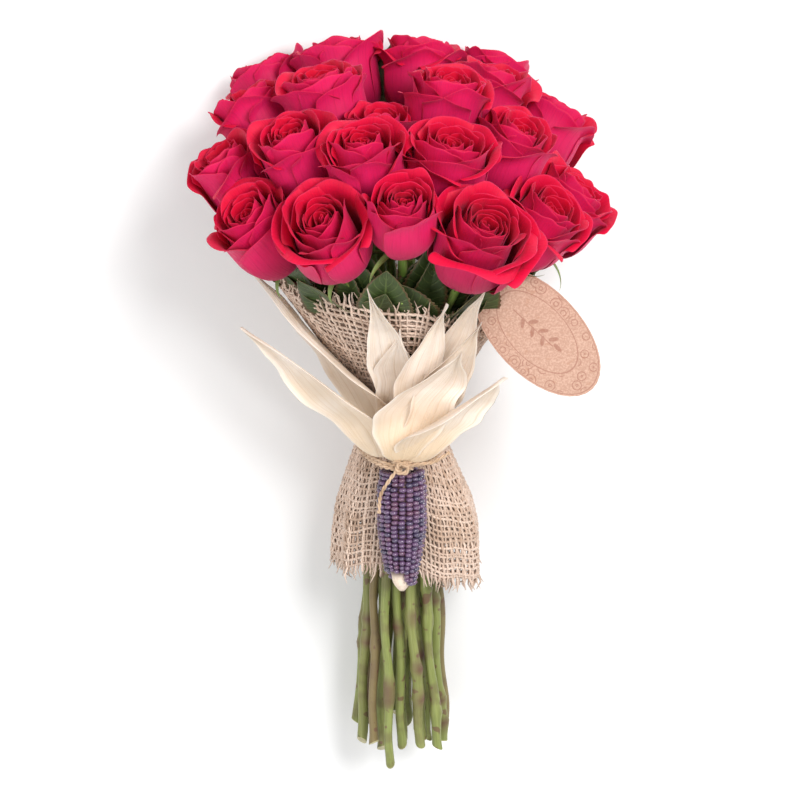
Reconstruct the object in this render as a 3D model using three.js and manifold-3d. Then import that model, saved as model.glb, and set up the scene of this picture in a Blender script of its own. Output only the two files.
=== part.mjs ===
// A hand-tied bunch of roses in a burlap wrap, with an ear of dark corn, lying on its back on a table.
// Millimetres. The bunch is modelled upright in its own frame, with +Z along the stems towards the flowers,
// -Y towards its front and z = 0 at the tie. The last group lays it down: flowers towards +Y, front up.
import * as THREE from "three";
import { mergeVertices } from "three/addons/utils/BufferGeometryUtils.js";
import Module from "manifold-3d";

const wasm = await Module();
wasm.setup();

// ---- driving dimensions ----
const GAP = 0.4; // left between pieces that touch
const STEM_END = -208; // where the stems are cut, below the tie
const STEM_RADIUS = 3.1;
const STEM_SPREAD = 1.75; // the cut ends stand this many times wider than the tied waist
const STEM_TWIST = 0.35; // turn of the spiralled stems from the tie to their ends, radians
const FAN_HEIGHT = 20; // the flower heads point away from this height on the bunch's axis
const HEAD_HEIGHT = 1.08; // of a head, in its own girths
const BASE_DEPTH = 0.8; // of a head's base below its open face, in its own girths
const CALYX_LENGTH = 9;
const CALYX_RADIUS = 5.2;
const LEAFLET_LENGTH = 42;
const LEAFLET_WIDTH = 28;
const LEAF_THICKNESS = 1;
const WRAP_THICKNESS = 1.6;
const WRAP_TOP = 92;
const WRAP_BOTTOM = -82;
const WRAP_TOP_RADIUS = 64;
const WRAP_HEM_RADIUS = 45;
const WRAP_SLANT = 0.2; // the top edge is this share higher at the left and lower at the right
const TIE_HEIGHT = 8;
const TIE_THICKNESS = 2.6;
const COB_LENGTH = 78;
const COB_RADIUS = 15.2;
const COB_LEAN = 0.09; // radians that the ear's tip stands away from the stems
const SHANK_RADIUS = 6.4; // of the husks' gathered feet, above the ear
const HUSK_THICKNESS = 0.9;
const TAG_LENGTH = 95;
const TAG_WIDTH = 52;
const TAG_THICKNESS = 0.8;
const TAG_HOLE_RADIUS = 2.5;
const STRING_RADIUS = 0.7;
const LAY_TILT = 10.15; // degrees that the flowers stand above the stems when the bunch lies down
const LAY_ROLL = 0;

// Each rose: how far its open face stands across, in front of the axis and above the tie, and its girth.
const ROSES = [
  [-105, 12, 178, 46],
  [-85, 60, 164, 49],
  [-42, 94, 169, 51],
  [2, 100, 177, 42],
  [45, 94, 167, 54],
  [82, 58, 162, 48],
  [104, 8, 155, 47],
  [-61, 40, 198, 49],
  [-19, 58, 205, 46],
  [26, 58, 202, 48],
  [64, 30, 199, 47],
  [-91, -36, 199, 46],
  [-43, 0, 217, 49],
  [-8, 20, 210, 40],
  [23, 8, 217, 46],
  [55, -26, 212, 48],
  [86, -44, 192, 46],
  [-80, -81.5, 204, 46],
  [-39, -66, 220, 49],
  [8, -64, 222, 48],
  [58, -84, 205, 47],
];

// Each husk: its layer over the wrap, its place round the bunch at the tie and at its tip in degrees,
// its tip's height above the tie and distance off the wrap, and its width.
const HUSKS = [
  { layer: 0, from: -20, to: -66, above: 107, off: 3, width: 24 },
  { layer: 0, from: 0, to: -11, above: 121, off: 2, width: 20 },
  { layer: 0, from: 20, to: 29, above: 119, off: 2, width: 20 },
  { layer: 2, from: -14, to: -66, above: 88, off: 37, width: 30 },
  { layer: 1, from: 0, to: -1, above: 100, off: 3, width: 24 },
  { layer: 2, from: 3, to: 15, above: 112, off: 3, width: 22 },
  { layer: 3, from: 10, to: 28, above: 105, off: 19, width: 22 },
  { layer: 4, from: -2, to: 21, above: 90, off: 29, width: 40 },
  { layer: 5, from: 8, to: 36, above: 74, off: 55, width: 26 },
];

// Each leaf: its place round the bunch in degrees, the height of its lowest point and how far it stands off.
const LEAVES = [
  [-60, 79, 3.4],
  [-20, 84, 5],
  [17, 83, 3.4],
  [172, 80, 3.4],
];

const colour = (hex, roughness) => new THREE.MeshStandardMaterial({ color: hex, roughness, metalness: 0 });
const petalFinish = colour(0xb8102e, 0.55);
const stemFinish = colour(0x7c9440, 0.55);
const leafFinish = colour(0x3c5a28, 0.5);
const burlapFinish = colour(0xb89468, 0.95);
const raffiaFinish = colour(0xcaa67c, 0.85);
const kernelFinish = colour(0x3b2a4c, 0.3);
const huskFinish = colour(0xeadfca, 0.8);
const kraftFinish = colour(0xd8a07c, 0.85);

// ---- closed solids ----
function solid(geometry) {
  const bare = geometry.clone();
  bare.deleteAttribute("normal");
  bare.deleteAttribute("uv");
  const merged = mergeVertices(bare, 1e-4);
  const mesh = new wasm.Mesh({
    numProp: 3,
    vertProperties: new Float32Array(merged.attributes.position.array),
    triVerts: new Uint32Array(merged.index.array),
  });
  return new wasm.Manifold(mesh);
}

function union(...geometries) {
  const mesh = geometries
    .map(solid)
    .reduce((a, b) => a.add(b))
    .getMesh();
  return new THREE.BufferGeometry()
    .setAttribute("position", new THREE.BufferAttribute(new Float32Array(mesh.vertProperties), 3))
    .setIndex(new THREE.BufferAttribute(new Uint32Array(mesh.triVerts), 1));
}

const bunch = new THREE.Group();
function add(name, geometry, finish) {
  const mesh = new THREE.Mesh(geometry, finish.clone());
  mesh.name = name;
  bunch.add(mesh);
  return mesh;
}

// Moves every vertex of a geometry to where the function puts it.
function reshape(geometry, move) {
  const at = geometry.attributes.position;
  const point = new THREE.Vector3();
  for (let k = 0; k < at.count; k++) {
    move(point.fromBufferAttribute(at, k));
    at.setXYZ(k, point.x, point.y, point.z);
  }
  return geometry;
}

const UP = new THREE.Vector3(0, 1, 0);
const radians = THREE.MathUtils.degToRad;
const number = (index) => String(index + 1).padStart(2, "0");
// A point from what is across, in front and above.
const place = (across, front, above) => new THREE.Vector3(across, -front, above);
// A point from its place round the bunch (radians, 0 at the front), its distance from the axis and its height.
const round = (angle, radius, above) => place(radius * Math.sin(angle), radius * Math.cos(angle), above);

// Pushes points apart until each pair keeps the distance it needs.
function pushApart(points, distance) {
  for (let turn = 0; turn < 300; turn++) {
    for (let i = 0; i < points.length; i++) {
      for (let j = i + 1; j < points.length; j++) {
        const between = points[j].clone().sub(points[i]);
        const short = distance(i, j) - between.length();
        if (short <= 0) continue;
        between.setLength(short / 2 + 0.001);
        points[i].sub(between);
        points[j].add(between);
      }
    }
  }
}

// ---- rose heads ----
// The half outline of a head from its base to its open top, in girths: a cup that closes in a little at the rim.
const HEAD_OUTLINE = [
  [0, -0.5],
  [0.15, -0.48],
  [0.36, -0.34],
  [0.49, -0.08],
  [0.49, 0.12],
  [0.42, 0.36],
  [0.3, 0.5],
  [0, 0.46],
];
const HEAD_SIDES = 11;

const fan = new THREE.Vector3(0, 0, FAN_HEIGHT);
const centres = ROSES.map(([across, front, above, girth]) => {
  const face = place(across, front, above);
  const axis = face.clone().sub(fan).normalize();
  return face.addScaledVector(axis, (HEAD_HEIGHT / 2 - BASE_DEPTH) * girth);
});
const headRoom = Math.max(1, HEAD_HEIGHT / 1.08);
pushApart(centres, (i, j) => (headRoom * (ROSES[i][3] + ROSES[j][3])) / 2 + GAP);
const heads = centres.map((centre, i) => {
  const girth = ROSES[i][3];
  const height = girth * HEAD_HEIGHT;
  const axis = centre.clone().sub(fan).normalize();
  const outline = HEAD_OUTLINE.map(([r, h]) => new THREE.Vector2(r * girth, h * height));
  const mesh = add(`rose_head_${number(i)}`, new THREE.LatheGeometry(outline, HEAD_SIDES), petalFinish);
  mesh.position.copy(centre);
  mesh.quaternion.setFromUnitVectors(UP, axis);
  return { axis, base: centre.clone().addScaledVector(axis, -height / 2) };
});

// ---- stems, each with its calyx ----
const STEM_SIDES = 8;
const STEM_STEPS = 10;
const waist = centres.map((c) => new THREE.Vector2(c.x, c.y).multiplyScalar(0.12));
pushApart(waist, () => 2 * STEM_RADIUS * 1.15 + GAP);

// Below the tie the stems spread and twist together, so none crosses another.
function stemPoint(i, z) {
  const share = z / STEM_END;
  const spread = 1 + (STEM_SPREAD - 1) * share;
  const p = waist[i].clone().rotateAround(new THREE.Vector2(), STEM_TWIST * share).multiplyScalar(spread);
  return new THREE.Vector3(p.x, p.y, z);
}

const ring = (radius, sides) =>
  new THREE.Shape(
    Array.from({ length: sides }, (_, k) => {
      const turn = (2 * Math.PI * k) / sides;
      return new THREE.Vector2(radius * Math.cos(turn), radius * Math.sin(turn));
    }),
  );
const stemSection = ring(STEM_RADIUS, STEM_SIDES);
const stems = heads.map(({ axis, base }, i) => {
  const top = base.clone().addScaledVector(axis, -CALYX_LENGTH - GAP);
  const cut = STEM_END + 6 * Math.sin(2.4 * i);
  const under = top.clone().addScaledVector(axis, -0.3 * top.z);
  const route = new THREE.CatmullRomCurve3(
    [stemPoint(i, cut), stemPoint(i, cut / 2), stemPoint(i, 0), stemPoint(i, 0).lerp(under, 0.6), under, top],
    false,
    "centripetal",
  );
  const tube = new THREE.ExtrudeGeometry(stemSection, { steps: STEM_STEPS, extrudePath: route });
  const calyxOutline = [
    [0, -2],
    [STEM_RADIUS * 0.9, -2],
    [CALYX_RADIUS, CALYX_LENGTH * 0.6],
    [CALYX_RADIUS * 0.8, CALYX_LENGTH],
    [0, CALYX_LENGTH],
  ];
  const calyx = new THREE.LatheGeometry(calyxOutline.map(([r, h]) => new THREE.Vector2(r, h)), 7);
  calyx.applyQuaternion(new THREE.Quaternion().setFromUnitVectors(UP, axis));
  calyx.translate(top.x, top.y, top.z);
  add(`stem_${number(i)}`, union(tube, calyx), stemFinish);
  return route;
});

// How far the outermost stem or calyx reaches from the axis at a height above the tie.
const stemLines = stems.map((route) => route.getSpacedPoints(STEM_STEPS));
function stemsReach(z) {
  const reaches = stemLines.map((points, i) => {
    const { axis } = heads[i];
    const top = points.at(-1);
    if (z > top.z) {
      const p = top.clone().addScaledVector(axis, (z - top.z) / axis.z);
      return z > top.z + CALYX_LENGTH ? 0 : Math.hypot(p.x, p.y) + CALYX_RADIUS;
    }
    const k = Math.max(1, points.findIndex((p) => p.z > z));
    const [a, b] = [points[k - 1], points[k]];
    const p = a.clone().lerp(b, (z - a.z) / (b.z - a.z));
    return Math.hypot(p.x, p.y) + STEM_RADIUS;
  });
  return Math.max(...reaches);
}

// ---- leaves: an end leaflet and a smaller pair on one stalk, standing on the cone of the stems ----
function leaflet(size, turn, y) {
  const blade = new THREE.BoxGeometry(1, 1, LEAF_THICKNESS, 2, 6, 1).translate(0, 0.5, LEAF_THICKNESS / 2);
  reshape(blade, (p) => {
    const share = p.y;
    p.x *= size * (1 + (LEAFLET_WIDTH - 1) * Math.sin(Math.PI * share ** 0.8));
    p.y *= size * LEAFLET_LENGTH;
  });
  return blade.rotateZ(turn).translate(0, y, 0);
}

LEAVES.forEach(([angle, lowest, off], i) => {
  const stalk = new THREE.BoxGeometry(2, 16, LEAF_THICKNESS * 2, 1, 3, 1).translate(0, 7, LEAF_THICKNESS / 2);
  const parts = [stalk, leaflet(0.95, 0, 11), leaflet(0.6, 1.05, 7), leaflet(0.6, -1.05, 7)];
  const lean = (stemsReach(lowest + LEAFLET_LENGTH) - stemsReach(lowest)) / LEAFLET_LENGTH;
  const slope = Math.hypot(1, lean);
  for (const part of parts) {
    reshape(part, (p) => {
      const z = lowest + p.y / slope;
      const radius = stemsReach(z) + off + p.z;
      p.copy(round(radians(angle) + p.x / radius, radius, z));
    });
  }
  add(`leaf_${number(i)}`, union(...parts), leafFinish);
});

// ---- burlap wrap: gathered at the tie and open at both ends ----
const WRAP_SIDES = 24;
const bundleRadius = Math.max(...[-0.5, 0, 0.5].map((share) => stemsReach(share * TIE_HEIGHT)));
const wrapWaist = bundleRadius + 2 * GAP + WRAP_THICKNESS;
const cobFront = wrapWaist + COB_RADIUS + 2.5; // the ear's axis at its top, in front of the bunch's
const cobTop = -TIE_HEIGHT / 2 - 3.5;
const wrapCurve = new THREE.SplineCurve(
  [
    [WRAP_HEM_RADIUS, WRAP_BOTTOM],
    [WRAP_HEM_RADIUS * 0.93, WRAP_BOTTOM * 0.6],
    [wrapWaist + 5, WRAP_BOTTOM * 0.2],
    [wrapWaist, -TIE_HEIGHT / 2],
    [wrapWaist, TIE_HEIGHT / 2],
    [wrapWaist + 7, WRAP_TOP * 0.25],
    [WRAP_TOP_RADIUS * 0.74, WRAP_TOP * 0.62],
    [WRAP_TOP_RADIUS, WRAP_TOP],
  ].map(([r, z]) => new THREE.Vector2(r, z)),
);
const wrapPoints = wrapCurve.getPoints(13);

// How far the wrap reaches from the axis at a height above the tie: its own curve, going on straight above
// its edge, or as far as the stems and leaves inside push it.
function wrapReach(z) {
  const above = wrapPoints.findIndex((p) => p.y > z);
  const k = above < 0 ? wrapPoints.length - 1 : Math.max(1, above);
  const [a, b] = [wrapPoints[k - 1], wrapPoints[k]];
  const own = a.x + ((z - a.y) / (b.y - a.y)) * (b.x - a.x);
  const leafRoom = 8 * THREE.MathUtils.smoothstep(z, WRAP_TOP * 0.5, WRAP_TOP);
  return Math.max(own, stemsReach(z) + WRAP_THICKNESS + 2 * GAP + leafRoom);
}

const wrapSection = [...wrapPoints, ...[...wrapPoints].reverse().map((p) => new THREE.Vector2(p.x - 1, p.y))];
const sleeve = new THREE.LatheGeometry([...wrapSection, wrapSection[0]], WRAP_SIDES).rotateX(Math.PI / 2);
const outerRow = (p) => wrapPoints.some((q) => Math.abs(q.y - p.z) < 0.01 && Math.hypot(p.x, p.y) > q.x - 0.5);
reshape(sleeve, (p) => {
  const outside = outerRow(p);
  const angle = Math.atan2(p.x, -p.y);
  const z = p.z * (1 - WRAP_SLANT * Math.sin(angle) * Math.max(0, p.z / WRAP_TOP));
  p.copy(round(angle, wrapReach(z) - (outside ? 0 : WRAP_THICKNESS), z));
  const aside = Math.max(0, Math.abs(p.x) - COB_RADIUS);
  const down = Math.max(0, cobTop - z);
  const taper = Math.max(0, down - 0.4 * COB_LENGTH) * 0.1;
  const limit = cobFront - COB_RADIUS - 1 + down * COB_LEAN + taper + aside * 1.2;
  const pressed = limit - (outside ? 0 : WRAP_THICKNESS);
  if (z < -TIE_HEIGHT && -p.y > pressed) p.y = -pressed;
});
add("burlap_wrap", sleeve, burlapFinish);

// ---- husks, pulled back from the ear and fanned over the wrap ----
// The first two layers lie behind the shank and the others in front of it.
const HUSK_FOOT = -TIE_HEIGHT / 2 - 1;
const huskStep = HUSK_THICKNESS + 2 * GAP;
const shankMiddle = 2 * huskStep + 4 * GAP + SHANK_RADIUS;
const layerFoot = (layer) => 2 * GAP + huskStep * layer + (layer > 1 ? 2 * SHANK_RADIUS + 3 * GAP : 0);
HUSKS.forEach(({ layer, from, to, above, off, width }, i) => {
  const foot = layerFoot(layer);
  const blade = new THREE.BoxGeometry(1, 1, HUSK_THICKNESS, 4, 14, 1).translate(0, 0.5, HUSK_THICKNESS / 2);
  reshape(blade, (p) => {
    const share = p.y;
    const z = HUSK_FOOT + (above - HUSK_FOOT) * share;
    const open = THREE.MathUtils.smoothstep(share, 0.1, 0.55);
    const narrow = 1 - THREE.MathUtils.smoothstep(share, 0.45, 1.02);
    const wide = (6 + (width - 6) * open) * Math.max(0.05, narrow);
    const radius = wrapReach(z) + foot + (off - foot) * share ** 2 + p.z;
    const angle = radians(from + (to - from) * THREE.MathUtils.smootherstep(share, -0.1, 1.1));
    p.copy(round(angle + (p.x * wide) / radius, radius, z));
  });
  add(`husk_${number(i)}`, blade, huskFinish);
});

// ---- ear of corn, hanging tip down from its shank ----
const cobOutline = [
  [0, -COB_LENGTH],
  [COB_RADIUS * 0.3, -COB_LENGTH],
  [COB_RADIUS * 0.55, -COB_LENGTH * 0.94],
  [COB_RADIUS * 0.8, -COB_LENGTH * 0.75],
  [COB_RADIUS * 0.97, -COB_LENGTH * 0.4],
  [COB_RADIUS, -COB_LENGTH * 0.12],
  [COB_RADIUS * 0.8, 0],
  [0, 0],
];
const ear = new THREE.LatheGeometry(cobOutline.map(([r, h]) => new THREE.Vector2(r, h)), 16);
ear.rotateX(Math.PI / 2 - COB_LEAN).translate(0, -cobFront, cobTop);
const shankLength = TIE_HEIGHT + 8.5;
const shank = new THREE.CylinderGeometry(SHANK_RADIUS, SHANK_RADIUS, shankLength, 10).rotateX(Math.PI / 2);
shank.translate(0, -(wrapWaist + shankMiddle), cobTop - 5 + shankLength / 2);
add("corn_cob", union(ear, shank), kernelFinish);

// ---- twine tie, round the wrap and over the husks' feet ----
const neckDepth = layerFoot(6);
const wrapUnderTie = Math.max(...[-0.5, 0, 0.5].map((share) => wrapReach(share * TIE_HEIGHT)));
const tieRadius = wrapUnderTie + GAP + TIE_THICKNESS / 2;
const tie = new THREE.TorusGeometry(tieRadius, TIE_THICKNESS / 2, 8, 40);
reshape(tie, (p) => {
  p.z *= TIE_HEIGHT / TIE_THICKNESS;
  const front = -p.y / Math.hypot(p.x, p.y);
  if (front > 0) p.y -= front * (neckDepth + 4);
});
add("twine_tie", tie, raffiaFinish);

// ---- kraft tag, facing the front, on a loop of string round the stem beside it ----
const TAG_PLACE = place(81, 62, 89);
const TAG_FACE = radians(68.3);
const TAG_TURN = radians(-46);
const TAG_HOLE = new THREE.Vector3(-TAG_LENGTH / 2 + 9.5, 6, 0);
const TAG_STEM = 5; // counted from nought
const tagOutline = new THREE.Shape().absellipse(0, 0, TAG_LENGTH / 2, TAG_WIDTH / 2, 0, 2 * Math.PI);
tagOutline.holes.push(new THREE.Path().absarc(TAG_HOLE.x, TAG_HOLE.y, TAG_HOLE_RADIUS, 0, 2 * Math.PI));
const tagBlank = new THREE.ExtrudeGeometry(tagOutline, {
  depth: TAG_THICKNESS,
  bevelEnabled: false,
  curveSegments: 18,
});
const tag = add("tag", tagBlank, kraftFinish);
tag.position.copy(TAG_PLACE);
tag.rotation.set(TAG_FACE, 0, TAG_TURN);
tag.updateMatrixWorld();
const hole = tag.localToWorld(TAG_HOLE.clone());
const alongTag = new THREE.Vector3(-1, 0, 0).transformDirection(tag.matrixWorld);
const LOOP_ENTRY = 7; // the loop's middle passes this far beyond the hole, outside the tag's edge
const LOOP_FRONT = 9; // and the loop stands this far in front of the tag
const loopStart = hole.clone().addScaledVector(alongTag, LOOP_ENTRY);
const LOOP_DROP = 7; // and is caught on its stem at least this far below the calyx
const stemTop = stemLines[TAG_STEM].at(-1).z;
const stemBeside = stems[TAG_STEM].getPoints(80).findLast((p) => p.z < Math.min(loopStart.z, stemTop - LOOP_DROP));
const inward = stemBeside.clone().sub(loopStart);
const backwards = inward.clone().normalize();
const sideways = alongTag.clone().addScaledVector(backwards, -alongTag.dot(backwards)).normalize();
const loopLong = (inward.length() + LOOP_FRONT + 3 * STEM_RADIUS) / 2;
const loopWide = LOOP_ENTRY / Math.sqrt(1 - ((loopLong - LOOP_FRONT) / loopLong) ** 2);
const loop = new THREE.TorusGeometry(1, STRING_RADIUS, 5, 26);
reshape(loop, (p) => {
  const across = Math.hypot(p.x, p.y);
  p.x += (p.x / across) * (loopLong - 1);
  p.y += (p.y / across) * (loopWide - 1);
});
loop.applyMatrix4(new THREE.Matrix4().makeBasis(backwards, sideways, backwards.clone().cross(sideways)));
const string = add("tag_string", loop, raffiaFinish);
string.position.copy(hole).addScaledVector(sideways, LOOP_ENTRY).addScaledVector(backwards, loopLong - LOOP_FRONT);

// ---- laid down on its back ----
const laid = new THREE.Group();
bunch.rotation.set(radians(LAY_TILT - 90), 0, 0);
laid.add(bunch);
laid.rotation.y = radians(LAY_ROLL);
const part = new THREE.Group();
part.add(laid);
part.updateMatrixWorld(true);
const box = new THREE.Box3().setFromObject(part, true);
laid.position.set(-(box.min.x + box.max.x) / 2, -(box.min.y + box.max.y) / 2, -box.min.z);
part.updateMatrixWorld(true);

export default part;
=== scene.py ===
"""A hand-tied bunch of roses on its back, in a burlap wrap, with an ear of corn, husks and a kraft tag."""

import math
from math import cos, pi, radians, sin

import bpy
import numpy as np
from mathutils import Matrix, Vector
from mathutils.bvhtree import BVHTree


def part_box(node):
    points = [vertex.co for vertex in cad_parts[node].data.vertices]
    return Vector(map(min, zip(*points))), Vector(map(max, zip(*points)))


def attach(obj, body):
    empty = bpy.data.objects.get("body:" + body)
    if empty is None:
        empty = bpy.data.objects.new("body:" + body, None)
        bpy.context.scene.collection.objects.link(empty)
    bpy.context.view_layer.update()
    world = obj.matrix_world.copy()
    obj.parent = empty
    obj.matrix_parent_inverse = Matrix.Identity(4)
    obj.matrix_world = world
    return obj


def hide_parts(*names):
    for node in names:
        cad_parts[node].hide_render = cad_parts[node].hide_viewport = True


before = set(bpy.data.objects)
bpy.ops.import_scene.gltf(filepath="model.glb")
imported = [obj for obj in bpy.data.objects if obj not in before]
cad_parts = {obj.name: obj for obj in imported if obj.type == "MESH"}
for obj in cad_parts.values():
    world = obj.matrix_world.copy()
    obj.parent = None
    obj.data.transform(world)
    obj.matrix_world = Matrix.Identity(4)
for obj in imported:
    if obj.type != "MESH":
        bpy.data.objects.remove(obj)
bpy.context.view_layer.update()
bpy.ops.object.select_all(action="DESELECT")

# ---- how the bunch lies ----
# The bunch is tied upright and then laid on its back, flowers raised a little by their own girth.
# Its pieces are shaped in its own frame, in millimetres: across, in front of its axis, and above the tie.
LAY_TILT = radians(10.15)
TAG_PLACE = (81, 62.4, 89.1)  # the middle of the tag's card, which shows where the bunch was laid
lie = np.array(Matrix.Rotation(LAY_TILT - pi / 2, 3, "X"))


def turned(points):
    """Directions or places in the bunch's frame (across, front, above), turned as the bunch lies."""
    points = np.asarray(points, float) * (1, -1, 1)
    return points @ lie.T


tag_low, tag_high = (np.array(corner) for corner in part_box("tag"))
tie_point = (tag_low + tag_high) / 2 - turned(TAG_PLACE) * 0.001


def laid(points):
    """Places in the bunch's frame, in millimetres, as places on the table, in metres."""
    return turned(points) * 0.001 + tie_point


def upright(node):
    """The corners of a CAD node's faces in the bunch's frame, in millimetres."""
    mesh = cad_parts[node].data
    corners = np.zeros(len(mesh.vertices) * 3, np.float32)
    mesh.vertices.foreach_get("co", corners)
    places = (corners.reshape(-1, 3).astype(float) - tie_point) * 1000
    return places @ lie * (1, -1, 1)


# ---- rose heads ----
# Twenty-one half-open garden roses. Each head is a couple of dozen thin velvety petals set in a spiral,
# rolled tight in the middle and turned back at the rim outside.
FAN_HEIGHT = 20  # the heads point away from this place on the bunch's axis
PETALS = 27
HEAD_FULLNESS = 1.08  # the petals stand a little proud of their solid, against their neighbours
PETAL_THICKNESS = 0.00034
PRESSED_GAP = 0.00012  # between one petal and the next where the table presses them flat
GOLDEN_ANGLE = radians(137.5)
# how far each rose has opened, from 0, a tight bud, to 1, and how far its spiral is turned, in degrees
OPENING = {
    1: (0.55, 10), 2: (0.6, 70), 3: (0.75, 200), 4: (0.12, 95), 5: (1.0, 30), 6: (0.7, 150), 7: (0.6, 20),
    8: (0.5, 250), 9: (0.62, 310), 10: (0.6, 170), 11: (0.5, 80), 12: (0.55, 120), 13: (0.55, 60),
    14: (0.3, 215), 15: (0.5, 140), 16: (0.55, 260), 17: (0.6, 330), 18: (0.5, 45), 19: (0.6, 190),
    20: (0.7, 100), 21: (0.6, 290),
}


def smooth(low, high, x):
    """0 below low, 1 above high and a soft step between."""
    share = np.clip((x - low) / (high - low), 0, 1)
    return share * share * (3 - 2 * share)


def grid_blank(across, along):
    """A flat sheet that pieces are bent from: its vertices' shares across, from -1 to 1, their shares along,
    from 0 to 1, and its faces as a block."""
    bpy.ops.mesh.primitive_grid_add(x_subdivisions=across, y_subdivisions=along, size=1, location=(0, 0, 0))
    blank = bpy.context.active_object
    shares = np.zeros(len(blank.data.vertices) * 3, np.float32)
    blank.data.vertices.foreach_get("co", shares)
    faces = np.array([face.vertices[:] for face in blank.data.polygons])
    bpy.data.objects.remove(blank)
    shares = shares.reshape(-1, 3)[:, :2].astype(float) + 0.5
    return shares[:, 0] * 2 - 1, shares[:, 1], [(faces, shares[faces])]


def sheet_mesh(name, shapes):
    """One mesh of several shapes: each is (places on the table, blocks, values). A block is faces with the
    same number of corners and the corners' uv, and values are numbers kept on the vertices by name."""
    starts = np.cumsum([0] + [len(shape[0]) for shape in shapes[:-1]])
    faces, uv = [], []
    for (_, blocks, _), start in zip(shapes, starts):
        for corners, corner_uv in blocks:
            faces += (corners + start).tolist()
            uv.append(corner_uv.reshape(-1, 2))
    mesh = bpy.data.meshes.new(name)
    mesh.from_pydata(np.concatenate([shape[0] for shape in shapes]).tolist(), [], faces)
    layer = mesh.uv_layers.new(name="along")
    layer.data.foreach_set("uv", np.concatenate(uv).astype(np.float32).ravel())
    for key in shapes[0][2]:
        kept = mesh.attributes.new(key, "FLOAT", "POINT")
        values = np.concatenate([np.broadcast_to(shape[2][key], len(shape[0])) for shape in shapes])
        kept.data.foreach_set("value", values.astype(np.float32))
    piece = bpy.data.objects.new(name, mesh)
    bpy.context.collection.objects.link(piece)
    bpy.ops.object.select_all(action="DESELECT")
    piece.select_set(True)
    bpy.context.view_layer.objects.active = piece
    return piece


def thicken(piece, thickness, levels=1, back=0):
    """Gives a bent sheet its thickness and rounds it, with both modifiers applied. back is how many slots
    further on the material of its other side is."""
    wall = piece.modifiers.new("wall", "SOLIDIFY")
    wall.thickness = thickness
    wall.offset = 0
    wall.material_offset = back
    bpy.ops.object.modifier_apply(modifier="wall")
    if levels:
        round_off = piece.modifiers.new("round", "SUBSURF")
        round_off.levels = round_off.render_levels = levels
        bpy.ops.object.modifier_apply(modifier="round")
    bpy.ops.object.shade_smooth()


class Value:
    """A socket that sums can be written on: each operator adds its Math node."""

    def __init__(self, finish, socket):
        self.finish = finish
        self.socket = socket

    def sum(self, operation, *terms):
        """Adds one Math node on the terms."""
        return self.finish.node("ShaderNodeMath", {"operation": operation}, dict(enumerate(terms)))

    def __add__(self, other):
        return self.sum("ADD", self, other)

    def __radd__(self, other):
        return self.sum("ADD", other, self)

    def __sub__(self, other):
        return self.sum("SUBTRACT", self, other)

    def __rsub__(self, other):
        return self.sum("SUBTRACT", other, self)

    def __mul__(self, other):
        return self.sum("MULTIPLY", self, other)

    def __rmul__(self, other):
        return self.sum("MULTIPLY", other, self)

    def __truediv__(self, other):
        return self.sum("DIVIDE", self, other)

    def __pow__(self, other):
        return self.sum("POWER", self, other)

    def __abs__(self):
        return self.sum("ABSOLUTE", self)

    def step(self, low, high):
        """0 at low, 1 at high and a soft step between."""
        settings = {"interpolation_type": "SMOOTHSTEP"}
        return self.finish.node("ShaderNodeMapRange", settings, {0: self, 1: low, 2: high})


class Finish:
    """A material as it is mixed, from the nodes and values that its methods give."""

    def __init__(self, name):
        self.material = bpy.data.materials.new(name)
        self.material.use_nodes = True
        self.tree = self.material.node_tree
        self.tree.nodes.clear()

    def node(self, kind, settings=None, sockets=None, out=0):
        """Adds a node: its settings first, then the values or links of its sockets. Gives its output."""
        made = self.tree.nodes.new(kind)
        for key, value in (settings or {}).items():
            if key == "stops":
                stops = made.color_ramp.elements
                while len(stops) < len(value):
                    stops.new(1)
                for stop, (place, colour) in zip(stops, value):
                    stop.position = place
                    stop.color = (*colour, 1)
            else:
                setattr(made, key, value)
        for key, value in (sockets or {}).items():
            if isinstance(value, Value):
                self.tree.links.new(value.socket, made.inputs[key])
            else:
                made.inputs[key].default_value = value
        return Value(self, made.outputs[out]) if made.outputs else made

    def mix(self, share, first, second):
        """A colour between two."""
        first, second = (c if isinstance(c, Value) else (*c, 1) for c in (first, second))
        return self.node("ShaderNodeMix", {"data_type": "RGBA"}, {0: share, 6: first, 7: second}, out=2)

    def noise(self, vector, scale, detail=2.0, rough=0.5):
        sockets = {"Vector": vector, "Scale": scale, "Detail": detail, "Roughness": rough}
        return self.node("ShaderNodeTexNoise", {}, sockets)

    def place(self, stretch=(1, 1, 1)):
        """The place on the table, in metres, stretched."""
        here = self.node("ShaderNodeTexCoord", {}, {}, out=3)
        return self.node("ShaderNodeMapping", {}, {"Vector": here, "Scale": stretch})

    def along(self, stretch=(1, 1, 1), turn=0):
        """The piece's own map, stretched: across and along it."""
        here = self.node("ShaderNodeUVMap", {"uv_map": "along"})
        sockets = {"Vector": here, "Scale": stretch, "Rotation": (0, 0, turn)}
        return self.node("ShaderNodeMapping", {}, sockets)

    def parts(self, vector):
        """The first two numbers of a vector."""
        return (self.node("ShaderNodeSeparateXYZ", {}, {0: vector}, out=k) for k in (0, 1))

    def kept(self, name):
        """A number kept on the piece's vertices."""
        return self.node("ShaderNodeAttribute", {"attribute_name": name}, {}, out=2)

    def bump(self, height, strength, depth):
        return self.node("ShaderNodeBump", {}, {"Strength": strength, "Distance": depth, "Height": height})

    def surface(self, sockets):
        """Ends the material with one surface of these sockets."""
        skin = self.node("ShaderNodeBsdfPrincipled", {}, sockets)
        self.node("ShaderNodeOutputMaterial", {}, {"Surface": skin})
        return self.material


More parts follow.
